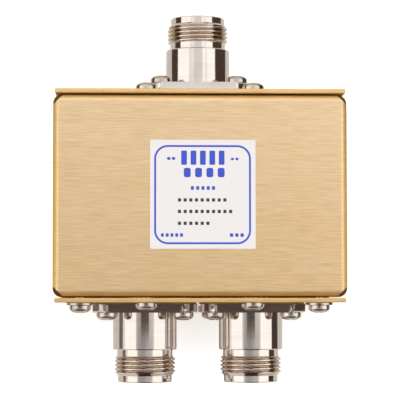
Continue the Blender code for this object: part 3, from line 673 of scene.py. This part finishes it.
# %% Shell sizes
PITCH = 25.4 * MM / 24
THREAD = 15.88 * MM / 2
THREAD_DEPTH = 0.50 * PITCH
CREST = 0.14 * PITCH
ROOT = 0.06 * PITCH
FLANK = (PITCH - CREST - ROOT) / 2
BODY = 16.65 * MM / 2
UNDERCUT = 14.5 * MM / 2
TIP = 14.1 * MM / 2
BAR = 33.6 * MM / 2
FLANGE_HALF = 26.9 * MM / 2
FLANGE_FRONT = 2.6 * MM
FLANGE_BREAK = 0.4 * MM
FLANGE_REAR_BREAK = 0.42 * MM
BODY_TOP = 12.3 * MM
UNDERCUT_TOP = 14.0 * MM
THREAD_TOP = SHELL_TOP - 1.75 * MM
SPIGOT = 9.4 * MM / 2
SPIGOT_END = -1.9 * MM
BORE = 7.0 * MM / 2
MOUTH = 8.4 * MM / 2
MOUTH_BREAK = 0.4 * MM
INSULATOR_TOP = 11.75 * MM
SMALL_BREAK = 0.25 * MM


def square_reach(angle, half):
    """Distance from the axis to a square's side: half / max(|cos a|, |sin a|)."""
    return half / np.maximum(np.abs(np.cos(angle)), np.abs(np.sin(angle)))


def thread_radius(height, angle):
    """Radius of a rounded thread: crest less depth (1 - cos(pi s)) / 2, where s runs down the flank."""
    turns = height[:, None] / PITCH - angle[None, :] / (2 * np.pi)
    from_crest = np.abs(turns - np.round(turns)) * PITCH
    down = np.clip((from_crest - CREST / 2) / FLANK, 0.0, 1.0)
    return THREAD - THREAD_DEPTH * (1 - np.cos(np.pi * down)) / 2


print("thread turns:", round((THREAD_TOP - UNDERCUT_TOP) / PITCH, 2))

# %% Angles of a shell's grid, with its corners among them
SHELL_STEPS = 144
shell_angles = angles_round(SHELL_STEPS)
quarters = np.arange(4)[:, None] * np.pi / 2
for inset in (0.0, FLANGE_BREAK):
    corner = math.acos(FLANGE_HALF / (BAR - inset))
    beside_corners = quarters + np.array([corner, np.pi / 2 - corner])
    shell_angles = np.concatenate([shell_angles, beside_corners.ravel()])
shell_angles = np.unique(np.round(shell_angles, 9))
print("angles of a shell:", len(shell_angles))

# %% Turned blank, thread and flats
THREAD_ROWS = 74
RUN_OUT = 2
thread_heights = np.linspace(THREAD_TOP, UNDERCUT_TOP, THREAD_ROWS)
turned_limit = np.minimum(TIP + (THREAD_TOP - thread_heights),
                          UNDERCUT + RUN_OUT * (thread_heights - UNDERCUT_TOP))
turned_limit = np.minimum(turned_limit, THREAD)
above = np.array([(MOUTH + MOUTH_BREAK, SHELL_TOP), (TIP - SMALL_BREAK, SHELL_TOP),
                  (TIP, SHELL_TOP - SMALL_BREAK)])
below = np.array([(UNDERCUT, BODY_TOP), (BODY - SMALL_BREAK, BODY_TOP), (BODY, BODY_TOP - SMALL_BREAK),
                  (BODY, FLANGE_FRONT), (BAR - FLANGE_BREAK, FLANGE_FRONT),
                  (BAR, FLANGE_FRONT - FLANGE_BREAK), (BAR, FLANGE_REAR_BREAK),
                  (BAR - FLANGE_REAR_BREAK, 0.0), (SPIGOT, 0.0), (SPIGOT, SPIGOT_END),
                  (BORE, SPIGOT_END), (BORE, INSULATOR_TOP), (MOUTH, INSULATOR_TOP),
                  (MOUTH, SHELL_TOP - MOUTH_BREAK)])
heights = np.concatenate([above[:, 1], thread_heights, below[:, 1]])
blank = np.concatenate([above[:, 0], turned_limit, below[:, 0]])
radii = np.repeat(blank[:, None], len(shell_angles), axis=1)
cut = slice(len(above), len(above) + len(thread_heights))
radii[cut] = np.minimum(radii[cut], np.maximum(thread_radius(thread_heights, shell_angles), UNDERCUT))
milled = np.where(heights <= 0.0, FLANGE_HALF - FLANGE_REAR_BREAK, FLANGE_HALF)
radii = np.minimum(radii, square_reach(shell_angles[None, :], milled[:, None]))
shell_points = turn_points(radii, heights, shell_angles)
# How deep each point lies in a thread root, for painted shade there
root_shade_marks = np.zeros_like(radii)
root_shade_marks[cut] = np.clip((turned_limit[:, None] - radii[cut]) / THREAD_DEPTH, 0.0, 1.0)
print("shell grid:", radii.shape)

# %% Three shells
for port, end in PORTS.items():
    place = on_end_wall(shell_points, port_middle[port].x, PORT_Z, end)
    mesh = closed_mesh(f"{port}_threaded_shell", place, marks=root_shade_marks)
    piece(mesh, nickel, "nickel_plate", f"{port}_shell")
    print(mesh.name, "faces:", len(mesh.polygons))

# %% [markdown]
# ## Insulators
# The white bead fills the shell's bore and holds the centre contact. It is a turned ring with a shallow
# step round the contact, seen only when you look into the receptacle, so a short profile is enough.

# %% Insulators
CONTACT = 3.04 * MM / 2
CONTACT_FIT = 0.05 * MM
BORE_FIT = 0.02 * MM
STEP_DEPTH = 0.5 * MM
STEP_FOOT, STEP_RIM = 0.5 * MM, 0.6 * MM
BEAD_BREAK = 0.15 * MM
bead_points = turned([
    (CONTACT + CONTACT_FIT, INSULATOR_TOP - STEP_DEPTH),
    (CONTACT + STEP_FOOT, INSULATOR_TOP - STEP_DEPTH), (CONTACT + STEP_RIM, INSULATOR_TOP),
    (BORE - BEAD_BREAK, INSULATOR_TOP), (BORE - BORE_FIT, INSULATOR_TOP - BEAD_BREAK),
    (BORE - BORE_FIT, SPIGOT_END), (CONTACT + CONTACT_FIT, SPIGOT_END),
])
for port, end in PORTS.items():
    place = on_end_wall(bead_points, port_middle[port].x, PORT_Z, end)
    piece(closed_mesh(f"{port}_bead", place), bead_plastic, "white_plastic", f"{port}_insulator")
print("beads:", len(PORTS), "each", round((INSULATOR_TOP - SPIGOT_END) / MM, 2), "mm long")

# %% [markdown]
# ## Screws and washers
# The pan heads are cold formed: an upright rim rounds over and runs into a low dome. The cross recess
# is pressed in: its depth is a smooth function of the distance to a plus sign, so the walls slope as a
# punch leaves them. It could be cut out with a boolean, but the formula keeps clean quads. Each head
# sits right on what it holds, and each is turned a little differently, as hands leave them.

# %% Screw formula
HEAD = 5.45 * MM / 2
HEAD_STEPS = 120
SHANK = 2.6 * MM / 2
RIM_HEIGHT = 0.8 * MM
RIM_BREAK = 0.1 * MM
DOME_ROWS = 48
DOME_SPACING = 1.2
DOME_POWER = 0.85
WING_LENGTH = 1.5 * MM
WING_WIDTH = 0.42 * MM
RECESS_DEPTH = 0.95 * MM
RECESS_SLOPE = 0.32 * MM
RECESS_RISE = 0.35


def plus_distance(x, y):
    """Signed distance to a plus sign, less than zero inside it."""
    first = np.maximum(np.abs(x) - WING_LENGTH, np.abs(y) - WING_WIDTH)
    second = np.maximum(np.abs(y) - WING_LENGTH, np.abs(x) - WING_WIDTH)
    return np.minimum(first, second)


def screw_points(seat, top, length, spin):
    """Head and shank above and below a seat, with a pressed recess turned by spin.

    radius = R cos(t) to the dome's power, height = rim + rise sin(t), less the recess's depth. Below
    the rim the head is a cylinder with a small break at its seat.
    """
    angle = angles_round(HEAD_STEPS)
    turn = np.pi / 2 * (1 - np.linspace(0.0, 1.0, DOME_ROWS) ** DOME_SPACING)
    rim = seat + RIM_HEIGHT
    profile = np.concatenate([HEAD * np.cos(turn) ** DOME_POWER, [HEAD, HEAD - RIM_BREAK]])
    turn = np.concatenate([turn, [0.0, 0.0]])
    radius = profile[:, None] * np.ones_like(angle)
    level = rim + (top - rim) * np.sin(turn)
    level[-2:] = [seat + RIM_BREAK, seat]
    x, y = radius * np.cos(angle - spin), radius * np.sin(angle - spin)
    slope = np.clip(-plus_distance(x, y) / RECESS_SLOPE, 0.0, 1.0) * (turn[:, None] > 0)
    pressed = slope ** 2 * (3 - 2 * slope)
    level = level[:, None] - RECESS_DEPTH * pressed * (1 - RECESS_RISE * radius / WING_LENGTH)
    head = np.stack([radius * np.cos(angle), radius * np.sin(angle), level], axis=-1)
    rest = turn_points([SHANK, SHANK, 0.0], [seat, seat - length, seat - length], angle)
    return np.concatenate([head, rest])


print("head and recess in mm:", [round(2 * size / MM, 2) for size in (HEAD, WING_LENGTH)])

# %% Screws on the end walls
HEAD_DEGREES = 40
SPIN_STEP = 0.7
WASHER_TOP = 0.7 * MM
# Seat, top of the head and length below the seat, measured out from the wall
ON_FLANGE = (FLANGE_FRONT, 4.6 * MM, 7.9 * MM)
ON_WASHER = (WASHER_TOP, 2.7 * MM, 6.4 * MM)
ON_WALL = (0.0, 2.0 * MM, 6.4 * MM)
screws = sorted(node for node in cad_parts
                if "flange_screw" in node or node.endswith("_cover_screw"))
for number, node in enumerate(screws, 1):
    fit = ON_FLANGE if "flange_screw" in node else ON_WASHER if "outer" in node else ON_WALL
    where = middle(node)
    points = screw_points(*fit, SPIN_STEP * number)
    place = on_end_wall(points, where.x, where.z, 1 if where.y > 0 else -1)
    mesh = closed_mesh(f"{node}_recessed", place, wrap_rows=False, sharp_degrees=HEAD_DEGREES)
    piece(mesh, steel, "stainless_steel", node)
print("screws:", len(screws))

# %% Washers
HOLE = 1.6 * MM
WASHER_FLAT, WASHER = 3.38 * MM, 3.5 * MM
WASHER_BREAK = 0.12 * MM
washer_points = turned([(HOLE, WASHER_TOP), (WASHER_FLAT, WASHER_TOP),
                        (WASHER, WASHER_TOP - WASHER_BREAK), (WASHER, WASHER_BREAK),
                        (WASHER_FLAT, 0.0), (HOLE, 0.0)])
for side in ("left", "right"):
    node = f"output_outer_{side}_washer"
    where = middle(node)
    mesh = closed_mesh(f"{node}_turned", on_end_wall(washer_points, where.x, where.z, -1))
    piece(mesh, steel, "stainless_steel", node)
    print(mesh.name, "faces:", len(mesh.polygons))

# %% [markdown]
# ## The printed label
# The label is a thin white film with rounded corners, stuck flat on the cover. Its print is part of the
# material: a blue rounded frame, two rows of bold bars and several rows of short ones. The bars stand
# for print in general and spell nothing. A picture of them would blur close up, so one group draws a row
# of equal rounded bars from the distance to the nearest of them.

# %% Bar group
INK_EDGE = (-0.05, 0.05)
bar_group, inside, outside = new_group(
    "bar_row",
    {"Place": ORIGIN, "First X": 0.0, "Middle Y": 0.0, "Pitch": 1.0, "Last": 0.0, "Half Width": 1.0,
     "Half Height": 1.0, "Corner": 0.1},
    ("Distance", "Ink"),
)
parts = add(bar_group, "ShaderNodeSeparateXYZ", {0: inside["Place"]}).outputs
along = maths(bar_group, "SUBTRACT", parts["X"], inside["First X"])
number = maths(bar_group, "ROUND", maths(bar_group, "DIVIDE", along, inside["Pitch"]))
number = maths(bar_group, "MINIMUM", maths(bar_group, "MAXIMUM", number, 0.0), inside["Last"])
from_bar = maths(bar_group, "SUBTRACT", along, maths(bar_group, "MULTIPLY", number, inside["Pitch"]))
from_row = maths(bar_group, "SUBTRACT", parts["Y"], inside["Middle Y"])
over = []
for distance, half in ((from_bar, inside["Half Width"]), (from_row, inside["Half Height"])):
    past = maths(bar_group, "SUBTRACT", maths(bar_group, "ABSOLUTE", distance), half)
    over.append(maths(bar_group, "ADD", past, inside["Corner"]))
squares = [maths(bar_group, "POWER", maths(bar_group, "MAXIMUM", value, 0.0), 2.0) for value in over]
outer = maths(bar_group, "SQRT", maths(bar_group, "ADD", *squares))
inner = maths(bar_group, "MINIMUM", maths(bar_group, "MAXIMUM", *over), 0.0)
distance = maths(bar_group, "SUBTRACT", maths(bar_group, "ADD", outer, inner), inside["Corner"])
bar_group.links.new(distance, outside["Distance"])
bar_group.links.new(spread(bar_group, distance, 1.0, 0.0, *INK_EDGE), outside["Ink"])

# %% Label material
FILM = (0.795, 0.76, 0.75, 1.0)
FILM_SHADE = (0.765, 0.73, 0.72, 1.0)
FILM_GLOSS = (0.30, 0.46)
FILM_BLOTCH = 120.0
BLUE = (0.035, 0.075, 0.53, 1.0)
BLACK = (0.035, 0.035, 0.04, 1.0)
# Rows of bars in millimetres: first x, middle y, pitch, count, width, height, corner
BLUE_ROWS = (
    (-4.75, 9.2, 2.37, 5, 1.45, 3.6, 0.30), (-3.95, 5.45, 2.85, 4, 1.75, 2.4, 0.55),
    (-8.6, 9.0, 1.2, 2, 0.9, 0.75, 0.35), (7.45, 8.9, 1.15, 2, 0.8, 0.65, 0.3),
    (-2.65, 1.56, 1.33, 5, 0.8, 0.95, 0.22), (-10.2, -10.3, 1.2, 5, 0.75, 0.9, 0.22),
    (7.2, -10.3, 1.33, 3, 0.85, 0.9, 0.22),
)
BLACK_ROWS = (
    (-5.9, -1.46, 1.43, 9, 0.8, 0.85, 0.15), (-5.9, -4.36, 1.43, 10, 0.8, 0.85, 0.15),
    (-5.9, -7.34, 1.43, 6, 0.8, 0.85, 0.15),
)
# The frame is the outline of one wide bar, inked between two distances from its edge
FRAME_BAR = (-0.08, -0.11, 1.0, 1, 23.9, 24.5, 3.2)
FRAME_EDGE = (0.20, 0.30)

label_low, label_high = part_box("label")
label_middle = middle("label")
label_film, tree, shader, place = new_material("label_film", FILM[:3], sum(FILM_GLOSS) / 2, 0.0)
scaled = add(tree, "ShaderNodeMapping", {"Vector": place, "Location": tuple(-label_middle / MM),
                                         "Scale": (1 / MM,) * 3}, vector_type="POINT").outputs[0]


def bar_row(first_x, middle_y, pitch, count, width, height, corner):
    """One row of printed bars."""
    sockets = {"Place": scaled, "First X": first_x, "Middle Y": middle_y, "Pitch": pitch,
               "Last": count - 1.0, "Half Width": width / 2, "Half Height": height / 2, "Corner": corner}
    return add(tree, "ShaderNodeGroup", sockets, node_tree=bar_group).outputs


def inked(rows):
    """The ink of several rows together."""
    total = 0.0
    for row in rows:
        total = maths(tree, "MAXIMUM", bar_row(*row)["Ink"], total)
    return total


border = maths(tree, "ABSOLUTE", bar_row(*FRAME_BAR)["Distance"])
border = spread(tree, border, 1.0, 0.0, *FRAME_EDGE)
marks = grain(tree, place, *TUMBLED, FILM_BLOTCH)
paper = mixed(tree, marks["Blotches"], FILM, FILM_SHADE)
printed = mixed(tree, maths(tree, "MAXIMUM", inked(BLUE_ROWS), border), paper, BLUE)
printed = mixed(tree, inked(BLACK_ROWS), printed, BLACK)
tree.links.new(printed, shader.inputs["Base Color"])
tree.links.new(spread(tree, marks["Lines"], *FILM_GLOSS), shader.inputs["Roughness"])
bumped(tree, shader, marks["Lines"], 0.06, DULL_DEPTH)
print("label rows:", len(BLUE_ROWS) + len(BLACK_ROWS))

# %% Label film
FILM_THICKNESS = 0.16 * MM
FILM_CORNER = 0.35 * MM
# From the middle of the underside to the middle of the top: share of the outline, share of the thickness
FILM_RINGS = np.array([(0.0, 0.0), (1.0, 0.0), (1.0, 0.8), (0.998, 1.0), (0.0, 1.0)])


def rounded_outline(half_width, half_height, radius, steps=8):
    """Corner arcs of a rectangle: centre of each corner plus radius times (cos a, sin a)."""
    turn = np.linspace(0.0, np.pi / 2, steps)[None, :] + np.arange(4)[:, None] * np.pi / 2
    side_x = np.array([1, -1, -1, 1])[:, None]
    side_y = np.array([1, 1, -1, -1])[:, None]
    x = side_x * (half_width - radius) + radius * np.cos(turn)
    y = side_y * (half_height - radius) + radius * np.sin(turn)
    return np.stack([x.ravel(), y.ravel()], axis=-1)


label_half = (label_high - label_low) / 2
rim = rounded_outline(label_half.x, label_half.y, FILM_CORNER)
film = np.empty((len(FILM_RINGS), len(rim), 3))
film[..., :2] = FILM_RINGS[:, :1, None] * rim + np.array(label_middle.xy)
film[..., 2] = FRONT_Z + FILM_THICKNESS * FILM_RINGS[:, 1:]
piece(closed_mesh("printed_label", film, wrap_rows=False), label_film, "label_film", "label")
print("label:", [round(2 * half / MM, 1) for half in label_half.xy], "mm")

# %% [markdown]
# ## Finishes of the solids that stay
# The contacts, the nuts and the circuit inside keep their solids, whose shapes are right. Each gets the
# material of its real counterpart, chosen by a word in its name.

# %% Materials by name
KEPT_FINISHES = (
    ("contact", gold), ("nut", steel), ("lead", copper), ("standoff", brass), ("board_screw", steel),
    ("core", ferrite), ("winding", copper), ("circuit_board", laminate), ("resistor", ceramic),
    ("capacitor", moulding),
)
finished = 0
for name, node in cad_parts.items():
    if node.hide_render:
        continue
    for word, material in KEPT_FINISHES:
        if word in name:
            for slot in node.material_slots:
                slot.material = material
            finished += 1
            break
print("solids with a new finish:", finished)

# %% [markdown]
# ## The studio
# The case lies on a plain white floor under a pale sky that is greyer on the outputs' side. Two soft
# lamps at the left and right light it. What bright metal shows is a matter of its own: a photographer
# places white, brown and black cards for it. Here the cards are seen only in reflections, and the lamps
# aren't, so each can be set without the other.

# %% Floor
FLOOR_REACH = 3.0
FLOOR_Z = -0.3 * MM
FLOOR_GLOW = 0.42
WHITE = (1.0, 1.0, 1.0, 1.0)


def lying(x, y, height):
    """Corners of a level rectangle between two places in X and two in Y."""
    return [(x[0], y[0], height), (x[1], y[0], height), (x[1], y[1], height), (x[0], y[1], height)]


def flat_object(name, corners, material):
    """An object of one quad, which is part of the studio."""
    mesh = bpy.data.meshes.new(name)
    mesh.from_pydata(corners, [], [(0, 1, 2, 3)])
    mesh.materials.append(material)
    return new_object(name, mesh)


floor_white, tree, shader, _ = new_material("floor_white", (0.93, 0.93, 0.93), 0.8, 0.0)
rays = tree.nodes.new("ShaderNodeLightPath").outputs
seen = maths(tree, "MAXIMUM", rays["Is Camera Ray"], rays["Is Glossy Ray"])
seen = maths(tree, "MAXIMUM", seen, rays["Is Transmission Ray"])
shader.inputs["Emission Color"].default_value = WHITE
tree.links.new(maths(tree, "MULTIPLY", seen, FLOOR_GLOW), shader.inputs["Emission Strength"])
reach = (-FLOOR_REACH, FLOOR_REACH)
floor = flat_object("floor", lying(reach, reach, FLOOR_Z), floor_white)
print("floor:", 2 * FLOOR_REACH, "m wide")

# %% World
SKY = 0.92
# Where the roof over the case begins, in the direction's Z, and its strengths along Y and across X
ROOF_FROM = (0.78, 0.94)
ROOF_ALONG = (0.46, 1.20, -0.02, 0.14)
ROOF_LEAN = (-0.02, 0.03, -0.05, 0.12)
ROOF_ACROSS = (-0.03, 0.10, -0.06, 0.15)
world = bpy.data.worlds.new("studio")
bpy.context.scene.world = world
world.use_nodes = True
tree = world.node_tree
direction = tree.nodes.new("ShaderNodeTexCoord").outputs["Generated"]
parts = add(tree, "ShaderNodeSeparateXYZ", {0: direction}).outputs
overhead = spread(tree, parts["Z"], 0.0, 1.0, *ROOF_FROM, "SMOOTHSTEP")
lean = maths(tree, "ADD", parts["Y"], spread(tree, parts["X"], *ROOF_LEAN))
roof = spread(tree, lean, *ROOF_ALONG, "SMOOTHSTEP")
roof = maths(tree, "ADD", roof, spread(tree, parts["X"], *ROOF_ACROSS))
level = add(tree, "ShaderNodeMix", {0: overhead, 2: SKY, 3: roof}).outputs[0]
background = tree.nodes["Background"]
background.inputs["Color"].default_value = WHITE
tree.links.new(level, background.inputs["Strength"])
print("world:", world.name)

# %% Lamps
LAMP_RADIANCE = 1.15
LAMP_SIZE = (0.7, 0.52)
LAMP_X = 0.55
LAMP_HEIGHT = 0.44
for side in (-1, 1):
    data = bpy.data.lights.new(f"soft_lamp_{side}", "AREA")
    data.shape = "RECTANGLE"
    data.size, data.size_y = LAMP_SIZE
    data.energy = LAMP_RADIANCE * math.pi * LAMP_SIZE[0] * LAMP_SIZE[1]
    lamp = new_object(data.name, data)
    lamp.location = (side * LAMP_X, 0.0, LAMP_HEIGHT)
    lamp.rotation_euler = (case_middle - lamp.location).to_track_quat("-Z", "Y").to_euler()
    lamp.visible_glossy = False
    print(lamp.name, "power:", round(data.energy, 2), "W")


# %% Card helpers
def standing(x, y, tops, foot=0.0):
    """Corners of a standing card between two places, with its top at its own height at each end."""
    return [(x[0], y[0], foot), (x[1], y[1], foot), (x[1], y[1], tops[1]), (x[0], y[0], tops[0])]


def card(name, corners, tone):
    """A flat card of the given brightness that only reflections see."""
    material, _, shader, _ = new_material(name, (0.0, 0.0, 0.0), 1.0, 0.0)
    shader.inputs["Specular IOR Level"].default_value = 0.0
    shader.inputs["Emission Color"].default_value = (*tone, 1.0)
    shader.inputs["Emission Strength"].default_value = 1.0
    obj = flat_object(name, corners, material)
    for kind in ("camera", "diffuse", "shadow", "transmission", "volume_scatter"):
        setattr(obj, f"visible_{kind}", False)


# %% Side cards
BLACK_CARD = (0.072, 0.050, 0.039)
GREY_CARD = (0.20, 0.165, 0.14)
BROWN_CARD = (0.17, 0.104, 0.055)
STRAW_CARD = (0.50, 0.42, 0.28)
CARD_X = 0.125
CARD_Z = -0.1 * MM
# Side, ends in y, top at each end, where its floor part starts, tone
SIDE_CARDS = (
    ("left_output", -1, (-0.15, -0.024), (0.018, 0.034), 0.110, GREY_CARD),
    ("left_cover", -1, (-0.024, 0.024), (0.060, 0.060), 0.050, STRAW_CARD),
    ("left_input", -1, (0.024, 0.15), (0.046, 0.066), 0.070, BLACK_CARD),
    ("right_output", 1, (-0.15, -0.024), (0.034, 0.050), 0.085, BLACK_CARD),
    ("right_cover", 1, (-0.024, 0.024), (0.060, 0.060), 0.050, STRAW_CARD),
    ("right_input", 1, (0.024, 0.15), (0.080, 0.105), 0.050, BLACK_CARD),
)
for name, side, ends, tops, start, tone in SIDE_CARDS:
    card(f"{name}_card", standing((side * CARD_X, side * CARD_X), ends, tops), tone)
    card(f"{name}_floor_card", lying((side * start, side * CARD_X), ends, CARD_Z), tone)
print("side cards:", 2 * len(SIDE_CARDS))

# %% Cards further out, on the floor and overhead
WHITE_CARD = (1.33, 1.35, 1.33)
PALE_CARD = (0.86, 0.86, 0.87)
SHADED_FLOOR_CARD = (0.72, 0.69, 0.64)
SHADE_CARD = (0.30, 0.24, 0.19)
DARK_CARD = (0.03, 0.022, 0.018)
WHITE_X, WHITE_ENDS, WHITE_TOPS, WHITE_FOOT = 0.55, (-0.35, 0.35), (0.88, 0.88), 0.147
OVERHEAD_Z = 0.56
OTHER_CARDS = (
    ("left_white", standing((-WHITE_X, -WHITE_X), WHITE_ENDS, WHITE_TOPS, WHITE_FOOT), WHITE_CARD),
    ("right_white", standing((WHITE_X, WHITE_X), WHITE_ENDS, WHITE_TOPS, WHITE_FOOT), WHITE_CARD),
    ("front", standing((-0.42, 0.42), (-0.35, -0.35), (0.60, 0.60)), BROWN_CARD),
    ("back", standing((-0.40, 0.40), (0.35, 0.35), (0.05, 0.05)), BROWN_CARD),
    # Painted shade: a grey card stands in for the floor in the case's shade, as reflections see it, and
    # the card between the outputs for the deeper shade there
    ("near_floor", lying((-CARD_X, CARD_X), (-0.3, 0.3), 2 * CARD_Z), SHADED_FLOOR_CARD),
    ("between", lying((-0.010, 0.010), (-0.07, -0.028), CARD_Z), SHADE_CARD),
    ("camera", lying((-0.15, 0.13), (-0.047, 0.03), OVERHEAD_Z), BLACK_CARD),
    ("input", lying((-0.15, 0.15), (0.088, 0.145), OVERHEAD_Z), PALE_CARD),
    ("front_low", standing((-0.13, 0.13), (-0.30, -0.30), (0.09, 0.09)), DARK_CARD),
)
for name, corners, tone in OTHER_CARDS:
    card(f"{name}_card", corners, tone)
print("other cards:", len(OTHER_CARDS))

# %% [markdown]
# ## Last steps
# The picture uses the Standard view, so that a colour comes out as it is written.

# %% View transform
bpy.context.scene.view_settings.view_transform = "Standard"
